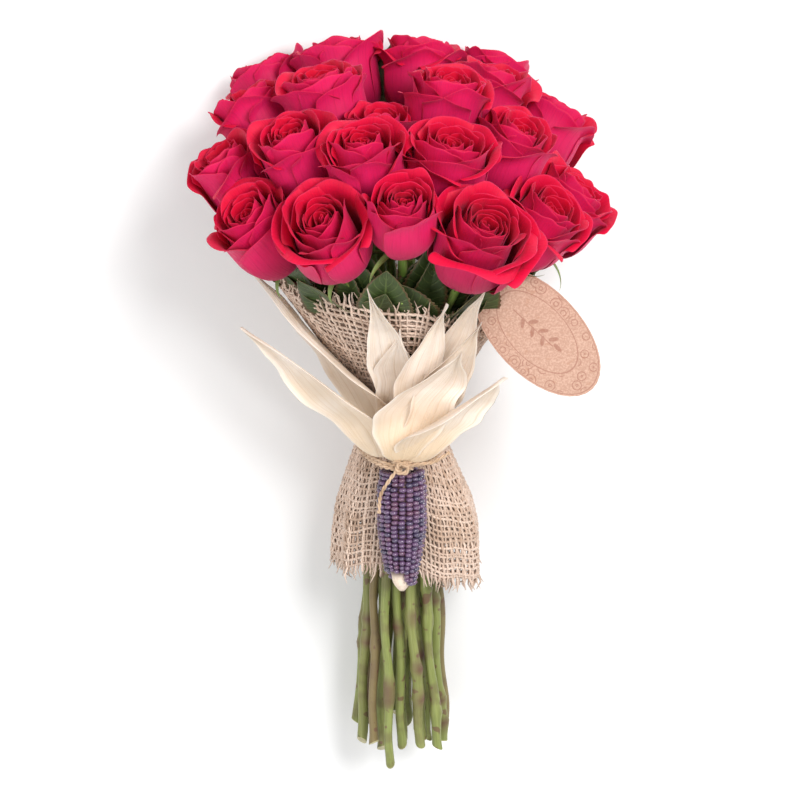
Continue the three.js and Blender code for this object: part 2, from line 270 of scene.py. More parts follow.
def petal_finish(name, heart, rim, shade, vein_depth):
    """Velvety petal skin: painted shade towards its foot, a painted highlight at its very edge, fine veins
    along it.
    """
    finish = Finish(name)
    across, along = finish.parts(finish.along())
    layer = finish.kept("layer")
    tone = finish.kept("tone")
    veins = finish.noise(finish.along((46, 2.2, 1)), 1.0, 3.0)
    cloudy = finish.noise(finish.place(), 70.0, 2.0)
    colour = finish.mix(layer.step(0.05, 0.9), heart, rim)
    # painted shade: the petal darkens towards its foot, deep inside the head
    colour = finish.mix((1 - along).step(0.25, 0.95) * 0.75, colour, shade)
    colour = finish.mix(veins.step(0.45, 0.75) * 0.22, colour, shade)
    colour = finish.mix(cloudy.step(0.45, 0.7) * 0.25 + tone * 0.25, colour, rim)
    edge = abs(across - 0.5) * 2
    # painted highlight: a pale band along the petal's rim and tip
    painted_rim_highlight = edge.step(0.965, 1.0) + along.step(0.975, 1.0)
    colour = finish.mix(painted_rim_highlight * 0.3, colour, (0.62, 0.03, 0.13))
    return finish.surface(
        {
            "Base Color": colour,
            "Roughness": 0.5 + veins * 0.14,
            "Normal": finish.bump(veins, 0.35, vein_depth),
            "Subsurface Weight": 0.08,
            "Subsurface Radius": (1.0, 0.08, 0.1),
            "Subsurface Scale": 0.003,
            "Sheen Weight": 0.18,
            "Sheen Roughness": 0.4,
            "Sheen Tint": (1.0, 0.3, 0.5, 1),
            "Specular IOR Level": 0.22,
        }
    )


# the shade colours are painted shade towards each petal's foot, and also the colour of its veins
FACE_RED, FACE_RIM, FACE_SHADE = (0.57, 0.001, 0.019), (0.64, 0.003, 0.043), (0.11, 0.0, 0.006)
BACK_RED, BACK_RIM, BACK_SHADE = (0.5, 0.002, 0.04), (0.63, 0.009, 0.095), (0.11, 0.001, 0.014)
petal_face = petal_finish("petal face", FACE_RED, FACE_RIM, FACE_SHADE, 0.0004)
petal_back = petal_finish("petal back", BACK_RED, BACK_RIM, BACK_SHADE, 0.0006)

BELLY_SHARE = 0.42  # the share of a petal's length that goes round the head's belly
BELLY_HEIGHT = 0.42  # of the head's widest place, in girths
SIDE_STEPS = 32  # the steps in which a petal's side is bent
petal_u, petal_v, petal_blocks = grid_blank(12, 10)


def petal(rng, k, opening):
    """The kth petal from a head's middle, above the head's foot: its places in girths, layer and tone."""
    layer = k / (PETALS - 1)
    outer = smooth(0.5, 1.0, layer)
    belly = 0.04 + 0.425 * layer ** (0.86 - 0.2 * opening)
    half_width = 2.2 - 1.15 * smooth(0.0, 0.55, layer) + rng.uniform(-0.08, 0.12)
    top = 0.9 + 0.12 * smooth(0.0, 0.55, layer) - (0.02 + 0.15 * opening) * smooth(0.6, 1.0, layer)
    top += rng.uniform(-0.035, 0.035)
    lean_in = radians(15) * (1 - 0.6 * outer) * (1.1 - 0.7 * opening)
    lean_out = radians(2 + 12 * opening) * outer * rng.uniform(0.3, 1.3)
    curl = radians(10) + radians(26 + 62 * opening) * smooth(0.25, 0.95, layer) * rng.uniform(0.35, 1.35)
    roll = (0.3 + 0.8 * opening) * smooth(0.3, 0.85, layer) * rng.uniform(0.4, 1.5)
    tuck = (0.15 - 0.08 * outer) * (1 if k % 5 else -1)
    turn = k * GOLDEN_ANGLE + rng.uniform(-0.16, 0.16)
    point = 0.03 + 0.14 * outer * rng.uniform(0.1, 1.3)
    wild = outer * float(rng.uniform() < 0.35)  # a weathered petal, folded well back to a point
    curl *= 1 + 0.55 * wild
    point += 0.16 * wild

    u = petal_u
    start = 0.35 * (1 - smooth(0.2, 0.7, layer))
    v = start + (1 - start) * petal_v
    # the profile from the foot: round the belly, then up the side and out at the rim
    low = np.clip(v / BELLY_SHARE, 0, 1)
    side = np.clip((v - BELLY_SHARE) / (1 - BELLY_SHARE), 0, 1)
    length = (top - BELLY_HEIGHT) * (1 - 0.16 * np.abs(u) ** 3.5 + point * (1 - np.abs(u)) ** 2)
    steps = np.linspace(0, 1, SIDE_STEPS + 1)
    mid = (steps[1:] + steps[:-1]) / 2
    corner = np.abs(u - rng.uniform(-0.3, 0.3))[:, None]
    bend_start = 0.6 - 0.25 * opening * outer
    bend = np.clip((mid[None] - bend_start) / (1 - bend_start), 0, 1) ** 1.6
    angle = -lean_in * np.sin(pi * mid * 0.75)[None] + lean_out * mid[None]
    angle = angle + curl * (0.6 + roll * corner**1.6) * bend
    step = 1 / SIDE_STEPS
    out = np.concatenate([np.zeros((len(u), 1)), np.cumsum(np.sin(angle) * step, 1)], 1)
    up = np.concatenate([np.zeros((len(u), 1)), np.cumsum(np.cos(angle) * step, 1)], 1)
    where = side * SIDE_STEPS
    low_k = np.clip(where.astype(int), 0, SIDE_STEPS - 1)
    part = where - low_k
    rows = np.arange(len(u))
    out = out[rows, low_k] * (1 - part) + out[rows, low_k + 1] * part
    up = up[rows, low_k] * (1 - part) + up[rows, low_k + 1] * part
    radius = belly * np.sin(pi / 2 * low) ** 0.85 + out * length
    height = BELLY_HEIGHT * (1 - np.cos(pi / 2 * low)) + up * length
    radius *= 1 + tuck * u
    # the sides of an outer petal stand off the head, and every rim is ruffled
    rim = smooth(0.62, 1.0, v)
    radius += 0.035 * roll * np.abs(u) ** 3 * smooth(0.25, 0.8, v)
    wave = 0.016 - 0.006 * outer + 0.012 * outer * opening
    phase = rng.uniform(0, 2 * pi)
    ruffles = rng.uniform(3.5, 6.5)
    radius += (wave + 0.016 * wild) * np.sin(u * ruffles + phase) * rim
    height += 0.009 * outer * np.sin(u * 11 + 3 * phase) * smooth(0.8, 1.0, v)
    height += 0.8 * wave * np.sin(u * 1.7 * ruffles + 2 * phase) * rim
    crumple = rng.uniform(4, 8)
    radius += 0.006 * np.sin(u * crumple * 2 + v * 7 + phase) * smooth(0.3, 0.9, v)
    spread = (0.42 + 0.58 * smooth(0.0, 0.45, v)) * (1 - 0.08 * smooth(0.8, 1.0, v) * np.abs(u))
    around = turn + half_width * u * spread
    places = np.stack([radius * np.cos(around), radius * np.sin(around), height], 1)
    return places, layer, rng.uniform(0, 1)


rose_feet = {}  # of each head: its foot, its axis and its girth
for number, (opening, turn) in OPENING.items():
    node = f"rose_head_{number:02d}"
    rng = np.random.default_rng(number)
    solid = np.unique(upright(node).round(2), axis=0)
    middle = solid.mean(0)
    axis = middle - (0, 0, FAN_HEIGHT)
    axis /= np.linalg.norm(axis)
    heights = (solid - middle) @ axis
    girth = 2 * np.linalg.norm(solid - middle - heights[:, None] * axis, axis=1).max()
    foot = middle + axis * heights.min() * HEAD_FULLNESS
    girth *= HEAD_FULLNESS
    side = np.cross(axis, (1, 0, 0))
    side /= np.linalg.norm(side)
    squash = rng.uniform(-0.05, 0.05)
    frame_of_head = np.stack([np.cross(side, axis) * (1 + squash), side * (1 - squash), axis]) * girth
    turn = radians(turn)
    spiral_turn = np.array([[cos(turn), sin(turn), 0], [-sin(turn), cos(turn), 0], [0, 0, 1]])
    sheets = []
    for k in range(PETALS):
        places, layer, tone = petal(rng, k, opening)
        places = laid(foot + places @ spiral_turn @ frame_of_head)
        pressed = PETAL_THICKNESS + PRESSED_GAP * (PETALS - k)  # as low as this petal may lie on the table
        places[:, 2] = np.maximum(places[:, 2], pressed)
        sheets.append((places, petal_blocks, {"layer": layer, "tone": tone}))
    head = sheet_mesh(f"rose_{number:02d}", sheets)
    head.data.materials.append(petal_face)
    head.data.materials.append(petal_back)
    thicken(head, PETAL_THICKNESS, back=1)
    rose_feet[number] = (foot, axis, girth)
    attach(head, "root")
    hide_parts(node)

# ---- stems ----
# Cut stems, olive below and fresh green above, some turned brown, with scars where leaves and thorns were.
# They are cut at a slant. Each swells into the hip under its flower, with five thin pointed sepals.
STEM_RADIUS = 3.1
CALYX_LENGTH = 9.4
CALYX_RADII = ((2.4, 3.9), (4.6, 4.9), (6.8, 5.3), (8.6, 5.0), (CALYX_LENGTH, 4.0))  # above the stem's top
STEM_SIDES = 12
SCARS = 4
STEM_REST = 0.0002  # as low as a stem may lie on the table


def levels(corners, gap):
    """Corners in the groups that a gap in height parts them into, lowest first."""
    corners = corners[np.argsort(corners[:, 2])]
    return np.split(corners, np.flatnonzero(np.diff(corners[:, 2]) > gap) + 1)


def curve_through(points, count):
    """A smooth curve through points, as count places along it."""
    p = np.asarray(points, float)
    p = np.concatenate([[2 * p[0] - p[1]], p, [2 * p[-1] - p[-2]]])
    where = np.linspace(0, len(p) - 3 - 1e-9, count)
    k = where.astype(int)
    f = (where - k)[:, None]
    a, b, c, d = p[k], p[k + 1], p[k + 2], p[k + 3]
    return 0.5 * (2 * b + (c - a) * f + (2 * a - 5 * b + 4 * c - d) * f**2 + (3 * b - a - 3 * c + d) * f**3)


def unit(vectors):
    """Directions of length 1."""
    return vectors / np.linalg.norm(vectors, axis=-1, keepdims=True)


def tube(path, radii, sides, towards=None, closed=False):
    """A round rod along a path in the bunch's frame: its places, as (points, sides, 3), and its blocks.
    towards turns its first side to a direction, and a closed rod's end meets its start."""
    path = np.asarray(path, float)
    count = len(path)
    if closed:
        ahead = unit(np.roll(path, -1, 0) - np.roll(path, 1, 0))
    else:
        ahead = unit(np.gradient(path, axis=0))
    if towards is None:
        side = np.cross(ahead[0], (0.31, 0.17, 0.93))
        carried = []
        for direction in ahead:
            side = side - direction * (side @ direction)
            side /= np.linalg.norm(side)
            carried.append(side)
        side = np.array(carried)
    else:
        side = np.broadcast_to(towards, path.shape)
        side = unit(side - ahead * (side * ahead).sum(1, keepdims=True))
    other = np.cross(ahead, side)
    around = np.linspace(0, 2 * pi, sides, endpoint=False)[None, :, None]
    ring = side[:, None] * np.cos(around) + other[:, None] * np.sin(around)
    places = path[:, None] + ring * np.broadcast_to(radii, count)[:, None, None]
    i, k = np.meshgrid(np.arange(count if closed else count - 1), np.arange(sides), indexing="ij")
    i, k = i.ravel(), k.ravel()
    after, beside = (i + 1) % count, (k + 1) % sides
    corners = np.stack([i * sides + k, after * sides + k, after * sides + beside, i * sides + beside], 1)
    lengths = np.concatenate([[0], np.cumsum(np.linalg.norm(np.diff(path, axis=0), axis=1))])
    if closed:
        lengths = np.append(lengths, lengths[-1] * count / (count - 1))
    run = lengths / 10  # v counts centimetres
    uv = np.stack([np.stack([k, k, k + 1, k + 1], 1) / sides, run[np.stack([i, i + 1, i + 1, i], 1)]], 2)
    blocks = [(corners, uv)]
    if not closed:
        cap = np.arange(sides)
        flat = np.full((1, sides, 2), 0.5)
        blocks += [(cap[None], flat), ((count - 1) * sides + cap[None, ::-1], flat)]
    return places, blocks


def stem_finish():
    """Waxy skin with faint streaks, brown scars and a pale cut end."""
    finish = Finish("stem skin")
    streaks = finish.noise(finish.along((14, 0.5, 1)), 1.0, 3.0)
    blotches = finish.noise(finish.place(), 60.0, 3.0)
    spots = finish.noise(finish.place(), 150.0, 1.0)
    colour = finish.mix(finish.kept("fresh"), (0.2, 0.235, 0.06), (0.15, 0.27, 0.04))
    colour = finish.mix(streaks.step(0.35, 0.7) * 0.45, colour, (0.34, 0.38, 0.12))
    colour = finish.mix(finish.kept("woody"), colour, (0.2, 0.125, 0.06))
    colour = finish.mix(blotches.step(0.5, 0.66) * 0.45, colour, (0.13, 0.08, 0.045))
    colour = finish.mix(spots.step(0.64, 0.7) * 0.75, colour, (0.14, 0.06, 0.04))
    colour = finish.mix(finish.kept("scar"), colour, (0.13, 0.055, 0.04))
    colour = finish.mix(finish.kept("cut"), colour, (0.55, 0.5, 0.26))
    return finish.surface(
        {
            "Base Color": colour,
            "Roughness": 0.42 + blotches * 0.2,
            "Normal": finish.bump(streaks, 0.3, 0.0004),
            "Subsurface Weight": 0.08,
            "Subsurface Radius": (0.4, 0.5, 0.1),
            "Subsurface Scale": 0.002,
        }
    )


def green_blade(name, face, vein, edge, teeth_red):
    """A leaf's or sepal's skin: a pale midrib and side veins, a puckered surface and a redder edge."""
    finish = Finish(name)
    across, along = finish.parts(finish.along())
    off_rib = abs(across - 0.5) * 2
    rib = 1 - off_rib.step(0.02, 0.07)
    slant = (along * 9 - off_rib * 2.4).sum("FRACT", along * 9 - off_rib * 2.4)
    side_vein = 1 - abs(slant - 0.5).step(0.03, 0.12)
    veins = rib.sum("MAXIMUM", rib, side_vein * 0.55)
    cloudy = finish.noise(finish.place(), 120.0, 3.0)
    colour = finish.mix(cloudy.step(0.35, 0.7) * 0.5, face, tuple(1.7 * c for c in face))
    colour = finish.mix(veins * 0.6, colour, vein)
    colour = finish.mix((off_rib + cloudy * 0.1).step(0.9, 1.02) * teeth_red, colour, edge)
    pucker = finish.noise(finish.place(), 420.0, 2.0)
    return finish.surface(
        {
            "Base Color": colour,
            "Roughness": 0.42 + cloudy * 0.15,
            "Normal": finish.bump(pucker * 0.4 - veins, 0.5, 0.0006),
            "Subsurface Weight": 0.05,
            "Subsurface Radius": (0.4, 0.6, 0.1),
            "Subsurface Scale": 0.002,
        }
    )


stem_skin = stem_finish()
sepal_skin = green_blade("sepal", (0.13, 0.19, 0.045), (0.35, 0.42, 0.16), (0.3, 0.1, 0.05), 0.4)
sepal_u, sepal_v, sepal_blocks = grid_blank(4, 12)


def sepal(rng, foot, axis, out):
    """A narrow pointed sepal that leaves the hip outwards and turns up along the petals or back down."""
    length = rng.uniform(20, 31)
    steps = np.linspace(0, 1, 25)
    turns_back = rng.uniform() < 0.5
    bend = radians(rng.uniform(60, 120)) * steps**1.5 if turns_back else -radians(52) * steps**1.3
    angle = radians(78) + bend
    step = length / 24
    outward = 3.4 + np.concatenate([[0], np.cumsum(np.sin(angle[1:]) * step)])
    upward = -0.6 + np.concatenate([[0], np.cumsum(np.cos(angle[1:]) * step)])
    lift = 0.5 if turns_back else -0.5
    half = 3.1 * (1 - sepal_v) ** 0.7 * (0.55 + 0.9 * sepal_v * (1 - sepal_v)) + 0.25
    across = sepal_u * half
    away = np.interp(sepal_v, steps, outward)
    rise = np.interp(sepal_v, steps, upward) + lift * np.abs(across)
    side = np.cross(axis, out)
    sway = rng.uniform(-4, 4) * sepal_v**2
    return foot + away[:, None] * out + rise[:, None] * axis + (across + sway)[:, None] * side


for number, (foot, axis, girth) in rose_feet.items():
    rng = np.random.default_rng(100 + number)
    node = f"stem_{number:02d}"
    rings = [np.unique(level.round(2), axis=0).mean(0) for level in levels(upright(node), 9)[:-1]]
    top = foot - axis * CALYX_LENGTH
    line = curve_through([*rings, top], 70)
    start = line[0] + 0.5 * unit(line[1] - line[0])
    line = np.concatenate([line[:1], [start], line[1:]])
    share = np.linspace(0, 1, len(line))
    sway = np.stack([np.sin(share * 29 + number), np.cos(share * 23 + 2 * number), 0 * share], 1)
    line = line + 0.9 * sway * (smooth(0, 0.06, share) * smooth(0.42, 0.3, share))[:, None]
    thick = STEM_RADIUS * rng.uniform(0.88, 1.04)
    radii = thick * (1 + 0.07 * np.sin(share * 31 + number)) * (1 - 0.1 * share)
    scar = np.zeros(len(line))
    for at in rng.uniform(0.03, 0.62, SCARS):
        scar = np.maximum(scar, np.exp(-(((share - at) / 0.011) ** 2)))
    radii = radii + 1.1 * scar
    woody = 0.7 * (number % 5 == 2) + rng.uniform(0, 0.2)  # some stems have turned brown
    line = np.concatenate([line, [top + axis * up for up, _ in CALYX_RADII]])
    radii = np.concatenate([radii, [radius for _, radius in CALYX_RADII]])
    hip = np.zeros(len(CALYX_RADII))
    places, blocks = tube(line, radii, STEM_SIDES)
    slant = 0.75 * STEM_RADIUS * np.cos(np.linspace(0, 2 * pi, STEM_SIDES, endpoint=False) + number)
    places[:2] += slant[None, :, None] * unit(line[1] - line[0])
    half_scar = 0.5 + 0.5 * np.cos(np.linspace(0, 2 * pi, STEM_SIDES, endpoint=False) + 2 * number)
    values = {
        "scar": (np.concatenate([scar, hip])[:, None] * half_scar).ravel(),
        "fresh": np.repeat(np.concatenate([smooth(0.25, 0.75, share), hip + 1]), STEM_SIDES),
        "cut": np.repeat(np.arange(len(line)) == 0, STEM_SIDES),
        "woody": np.repeat(woody * np.concatenate([smooth(0.75, 0.3, share), hip]), STEM_SIDES),
    }
    places = laid(places.reshape(-1, 3))
    places[:, 2] = np.maximum(places[:, 2], STEM_REST)
    shapes = [(places, blocks, values)]
    blank = {"scar": 0, "fresh": 1, "cut": 0, "woody": 0}
    side = unit(np.cross(axis, (1, 0, 0)))
    other = np.cross(axis, side)
    first = rng.uniform(0, 2 * pi)
    for k in range(5):
        around = first + k * 2 * pi / 5
        out = side * cos(around) + other * sin(around)
        shapes.append((laid(sepal(rng, foot, axis, out)), sepal_blocks, blank))
    stem = sheet_mesh(node.replace("stem", "rose_stem"), shapes)
    stem.data.materials.append(stem_skin)
    stem.data.materials.append(sepal_skin)
    sepal_start = sum(len(corners) for corners, _ in blocks)
    is_sepal = np.arange(len(stem.data.polygons)) >= sepal_start
    stem.data.polygons.foreach_set("material_index", is_sepal.astype(np.int32))
    bpy.ops.object.shade_smooth()
    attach(stem, "root")
    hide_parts(node)

# ---- leaves ----
# Dark rose leaves inside the wrap's edge, and a few deeper among the flowers. Each is several toothed
# leaflets on thin stalks, folded a little along the midrib, with paler backs.
LEAFLET_LENGTH = 52
LEAFLET_WIDTH = 36
LEAF_THICKNESS = 0.0004
TEETH = 15
STALK_LENGTH = 26
STALK_RADIUS = 0.8
LEAFLET_REST, STALK_REST = 0.001, 0.0005  # as low as these may lie on the table
# of each leaf, its leaflets: place round the bunch in degrees, foot's height above the tie, how far that
# stands off the leaf's solid, lean outwards and turn aside in degrees, and size
LEAFLETS = {
    1: (
        (-76, 98, -4, 14, -12, 1.0), (-52, 96, -3, 4, 16, 0.9), (-98, 98, -3, 8, -25, 0.85),
        (-84, 104, -2, 20, 34, 0.7), (-60, 92, -12, -4, 8, 1.0), (-88, 92, -12, -2, -16, 1.0),
        (-70, 104, -14, 0, -8, 1.0),
    ),
    2: (
        (-29, 94, -5, 6, -26, 0.9), (-9, 96, -4, 2, 6, 0.95), (-18, 92, -6, 8, 24, 0.8),
        (-40, 96, -4, 10, -44, 0.75), (-36, 94, -12, -3, 14, 1.0), (-14, 94, -13, -3, -12, 1.05),
        (-24, 104, -18, -2, 6, 1.0),
    ),
    3: (
        (12, 88, -5, 4, -24, 0.95), (29, 88, -4, 6, 14, 1.0), (52, 92, -3, 4, -10, 0.9),
        (84, 96, 0, 10, 20, 0.85), (0, 140, -66, 0, 4, 1.0), (4, 94, -12, -3, 12, 1.0),
        (24, 92, -13, -3, -14, 1.05), (44, 92, -12, -3, 10, 1.0), (70, 94, -11, 0, 0, 1.0),
        (14, 104, -18, -2, 4, 1.0), (38, 102, -18, -2, -6, 1.0),
    ),
    4: (
        (150, 96, 0, 4, -14, 0.9), (176, 94, 0, 0, 8, 0.9), (205, 94, 0, 4, 26, 0.9),
        (122, 94, 3, 10, 10, 0.8), (232, 94, 0, 8, -10, 0.9), (164, 92, -9, -6, 8, 0.9),
        (190, 92, -9, -6, -10, 0.9), (104, 94, -9, -2, 6, 1.0), (170, 138, -44, 2, 14, 1.1),
        (200, 146, -50, 6, -22, 1.1), (148, 146, -48, 4, 24, 1.1), (184, 160, -62, 2, 0, 1.1),
        (180, 180, -78, -4, 4, 1.1), (215, 150, -56, -6, 16, 1.0), (160, 128, -34, 10, -12, 1.1),
        (190, 128, -30, 12, 8, 1.1),
    ),
}
leaf_face = green_blade("leaf face", (0.034, 0.056, 0.013), (0.13, 0.18, 0.05), (0.16, 0.05, 0.03), 0.55)
leaf_back = green_blade("leaf back", (0.12, 0.145, 0.06), (0.22, 0.27, 0.12), (0.2, 0.1, 0.06), 0.3)
leaf_u, leaf_v, leaf_blocks = grid_blank(8, 45)


def leaflet(rng, foot, along, facing, size):
    """One toothed leaflet from its foot along a direction, with its face to another."""
    length = LEAFLET_LENGTH * size
    half = LEAFLET_WIDTH * size / 2 * np.sin(pi * np.clip(leaf_v, 0.0, 1.0) ** 0.82) ** 0.85 + 0.3
    teeth = (leaf_v * TEETH % 1 - 0.5) * smooth(0.72, 1.0, np.abs(leaf_u)) * 0.11
    across = leaf_u * half * (1 + teeth)
    droop = rng.uniform(-0.1, 0.22) * length * leaf_v**2
    wave = 0.9 * np.sin(leaf_v * 11 + rng.uniform(0, 6)) * np.abs(leaf_u) ** 2.5
    off = rng.uniform(0.12, 0.34) * np.abs(across) - droop + wave
    side = np.cross(along, facing)
    return foot + along * (leaf_v * length)[:, None] + side * across[:, None] + facing * off[:, None]


for number, leaflets in LEAFLETS.items():
    rng = np.random.default_rng(200 + number)
    node = f"leaf_{number:02d}"
    corners = upright(node)
    slope, start = np.polyfit(corners[:, 2], np.hypot(corners[:, 0], corners[:, 1]), 1)
    green = {"scar": 0, "fresh": 0.8, "cut": 0, "woody": 0}
    shapes, stalks = [], []
    for angle, above, off, lean, turn, size in leaflets:
        out = np.array([sin(radians(angle)), cos(radians(angle)), 0])
        tangent = np.array([cos(radians(angle)), -sin(radians(angle)), 0])
        up_cone = unit(out * slope + (0, 0, 1))
        facing = np.cross(up_cone, tangent)
        facing *= np.sign(facing @ out)
        along = up_cone * cos(radians(lean)) + facing * sin(radians(lean))
        facing = unit(facing - along * (facing @ along))
        along = along * cos(radians(turn)) + tangent * sin(radians(turn))
        base = out * (start + slope * above + off) + (0, 0, above)
        places = laid(leaflet(rng, base, along, facing, size))
        places[:, 2] = np.maximum(places[:, 2], LEAFLET_REST)
        shapes.append((places, leaf_blocks, {}))
        below = above - STALK_LENGTH
        low = out * (start + slope * below + 1.5) + (0, 0, below)
        stalk_line = curve_through([low, (low + base) / 2 - out, base, base + along * 3], 14)
        places, blocks = tube(stalk_line, STALK_RADIUS, 6)
        places = laid(places.reshape(-1, 3))
        places[:, 2] = np.maximum(places[:, 2], STALK_REST)
        stalks.append((places, blocks, green))
    leaf = sheet_mesh(f"rose_leaf_{number:02d}", shapes)
    leaf.data.materials.append(leaf_back)
    leaf.data.materials.append(leaf_face)
    thicken(leaf, LEAF_THICKNESS, levels=0, back=1)
    stalk = sheet_mesh(f"leaf_stalk_{number:02d}", stalks)
    stalk.data.materials.append(stem_skin)
    bpy.ops.object.shade_smooth()
    for piece in (leaf, stalk):
        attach(piece, "root")
        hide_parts(node)

# ---- burlap wrap ----
# One strip of open jute burlap, cut raw, wound twice round the stems and gathered in by the tie. Its edges
# fray into a fringe. The warp runs up the bunch and the weft round it, yarn over and under yarn by turns.
WARPS = 112
WEFTS = 52
YARN_RADIUS = 0.86
WEAVE = 0.6  # how far a yarn swings to each side where it passes the others
HEM_HEIGHT = -80
RIM_HEIGHT = 106  # the wrap's shape is measured up to here
WRAP_FOLDS = 11
WRAP_ROUND, WRAP_UP = 96, 60  # where its shape is measured, round it and up it

wrap_corners = upright("burlap_wrap")
wrap_faces = np.arange(len(wrap_corners)).reshape(-1, 3)
wrap_tree = BVHTree.FromPolygons(wrap_corners.tolist(), wrap_faces.tolist())
wrap_heights = np.linspace(HEM_HEIGHT, RIM_HEIGHT, WRAP_UP)
wrap_angles = np.linspace(-pi, pi, WRAP_ROUND, endpoint=False)


def wrap_reach_table():
    """How far the wrap's outside stands from the axis, by angle and height, with its facets smoothed."""
    table = np.full((WRAP_ROUND, WRAP_UP), np.nan)
    for i, angle in enumerate(wrap_angles):
        out = Vector((sin(angle), cos(angle), 0))
        for j, height in enumerate(wrap_heights):
            hit = wrap_tree.ray_cast(out * 300 + Vector((0, 0, height)), -out)[0]
            if hit and hit.x * out.x + hit.y * out.y > 0:
                table[i, j] = math.hypot(hit.x, hit.y)
        known = np.flatnonzero(~np.isnan(table[i]))
        last = known[-1]
        slope = (table[i, last] - table[i, last - 6]) / 6
        table[i, last + 1 :] = table[i, last] + slope * np.arange(1, WRAP_UP - last)
        table[i, : known[0]] = table[i, known[0]]
    for _ in range(3):
        table = (np.roll(table, 1, 0) + np.roll(table, -1, 0) + 2 * table) / 4
    return table


wrap_table = wrap_reach_table()


def wrap_reach(angle, height):
    """The wrap's distance from the axis at angles and heights."""
    i = (np.asarray(angle) + pi) / (2 * pi) * WRAP_ROUND
    share = (np.asarray(height) - HEM_HEIGHT) / (RIM_HEIGHT - HEM_HEIGHT)
    j = np.clip(share * (WRAP_UP - 1), 0, WRAP_UP - 1.001)
    low_i, low_j = np.floor(i).astype(int), j.astype(int)
    fi, fj = i - low_i, j - low_j
    a, b = low_i % WRAP_ROUND, (low_i + 1) % WRAP_ROUND
    below = wrap_table[a, low_j] * (1 - fi) + wrap_table[b, low_j] * fi
    over = wrap_table[a, low_j + 1] * (1 - fi) + wrap_table[b, low_j + 1] * fi
    return below * (1 - fj) + over * fj


def wrap_top(angle):
    """The height of the wrap's upper edge: higher at the left, and waved."""
    waves = 2.4 * np.sin(5 * angle + 1) + 1.5 * np.sin(11 * angle)
    return 96 - 15 * np.sin(angle) + 9 * np.cos(angle + 0.3) + waves


def wrap_hem(angle):
    """The height of its lower edge, in two lobes to the sides of the ear, the right one longer."""
    waves = 2.2 * np.sin(3 * angle + 2) + np.sin(9 * angle)
    return HEM_HEIGHT - 2 + 5 * np.cos(2 * angle) - 5.5 * np.sin(angle) + waves


def wrap_place(angle, share, off):
    """A place on the cloth: its turn round the bunch, its share of the way up and how far it stands off."""
    low, high = wrap_hem(angle), wrap_top(angle)
    height = low + (high - low) * share
    skirt = smooth(-12, -70, height)
    collar = smooth(20, 90, height)
    gather = np.exp(-((height / 26) ** 2))
    behind = 0.35 + 0.65 * smooth(-0.2, -0.8, np.cos(angle))
    behind = behind + 0.4 * smooth(0.35, 0.9, np.abs(np.sin(angle)))
    fold = np.sin(WRAP_FOLDS * angle + 1.3 * np.sin(2 * angle) + 0.8 * share)
    fine = np.sin(26 * angle + 2 * np.sin(3 * angle))
    reach = wrap_reach(angle, np.minimum(height, RIM_HEIGHT))
    reach = reach - 0.9 + off + (2.6 * skirt + 1.6 * collar) * behind * fold + 0.55 * gather * fine
    reach = reach - 2.2 * skirt * behind + 6 * skirt * smooth(0.3, 0.95, np.sin(angle))
    return np.stack([reach * np.sin(angle), reach * np.cos(angle), height], -1)


def burlap_finish():
    """Coarse jute: pale tan, hairy, with darker and lighter yarns and the twist of its fibres."""
    finish = Finish("jute yarn")
    tone = finish.kept("tone")
    fibres = finish.noise(finish.along((5, 26, 1), turn=0.5), 1.0, 3.0)
    patches = finish.noise(finish.place(), 45.0, 3.0)
    colour = finish.mix(tone, (0.5, 0.345, 0.25), (0.8, 0.62, 0.5))
    colour = finish.mix(patches.step(0.35, 0.7) * 0.45, colour, (0.86, 0.69, 0.59))
    colour = finish.mix(fibres.step(0.5, 0.75) * 0.45, colour, (0.34, 0.21, 0.13))
    return finish.surface(
        {
            "Base Color": colour,
            "Roughness": 0.85,
            "Normal": finish.bump(fibres, 0.7, 0.0005),
            "Sheen Weight": 0.15,
            "Specular IOR Level": 0.2,
        }
    )


def burlap_turn(rng, inward, seen):
    """One turn of the strip: its yarns as shapes. A turn that is seen has its full weave and fringes."""
    yarns = []
    warp_angles = -pi + 2 * pi * (np.arange(WARPS) + rng.uniform(-0.22, 0.22, WARPS)) / WARPS
    weft_shares = (np.arange(WEFTS) + 0.5 + rng.uniform(-0.2, 0.2, WEFTS)) / WEFTS
    detail = 2 if seen else 1
    weave = WEAVE if seen else 0
    for k, angle in enumerate(warp_angles):
        share = np.linspace(0.004, 0.996, detail * WEFTS + 1)
        drift = 0.012 * np.sin(share * rng.uniform(3, 7) + rng.uniform(0, 6))
        off = weave * np.cos(pi * WEFTS * share) * (1 if k % 2 else -1) - inward
        path = wrap_place(angle + drift, share, off)
        out, down = unit(path[-1] - path[-3]), unit(path[0] - path[2])
        loose = rng.uniform(1.5, 5) * np.arange(1, 3)
        fringe = rng.uniform(2, 5) * np.arange(2, 0, -1)
        loose = [path[-1] + out * step + rng.normal(0, 0.25 * step, 3) for step in loose]
        fringe = [path[0] + down * step + rng.normal(0, 0.2 * step, 3) for step in fringe]
        path = np.concatenate([fringe, path, loose])
        radii = YARN_RADIUS * rng.uniform(0.75, 1.2) * np.ones(len(path))
        radii[:2] *= (0.25, 0.7)
        radii[-2:] *= (0.7, 0.25)
        places, blocks = tube(path, radii, 4, towards=path * (1, 1, 0) + (0, 0.01, 0))
        yarns.append((laid(places.reshape(-1, 3)), blocks, {"tone": rng.uniform(0, 1)}))
    for k, share in enumerate(weft_shares):
        angle = np.linspace(-pi, pi, detail * WARPS, endpoint=False)
        drift = 0.004 * np.sin(2 * angle + rng.uniform(0, 6))
        drift = drift + 0.003 * np.sin(5 * angle + rng.uniform(0, 6))
        off = weave * np.cos(WARPS * (angle + pi)) * (-1 if k % 2 else 1) - inward
        path = wrap_place(angle, share + drift, off)
        radius = YARN_RADIUS * rng.uniform(0.75, 1.2)
        places, blocks = tube(path, radius, 4, towards=path * (1, 1, 0), closed=True)
        yarns.append((laid(places.reshape(-1, 3)), blocks, {"tone": rng.uniform(0, 1)}))
    return yarns


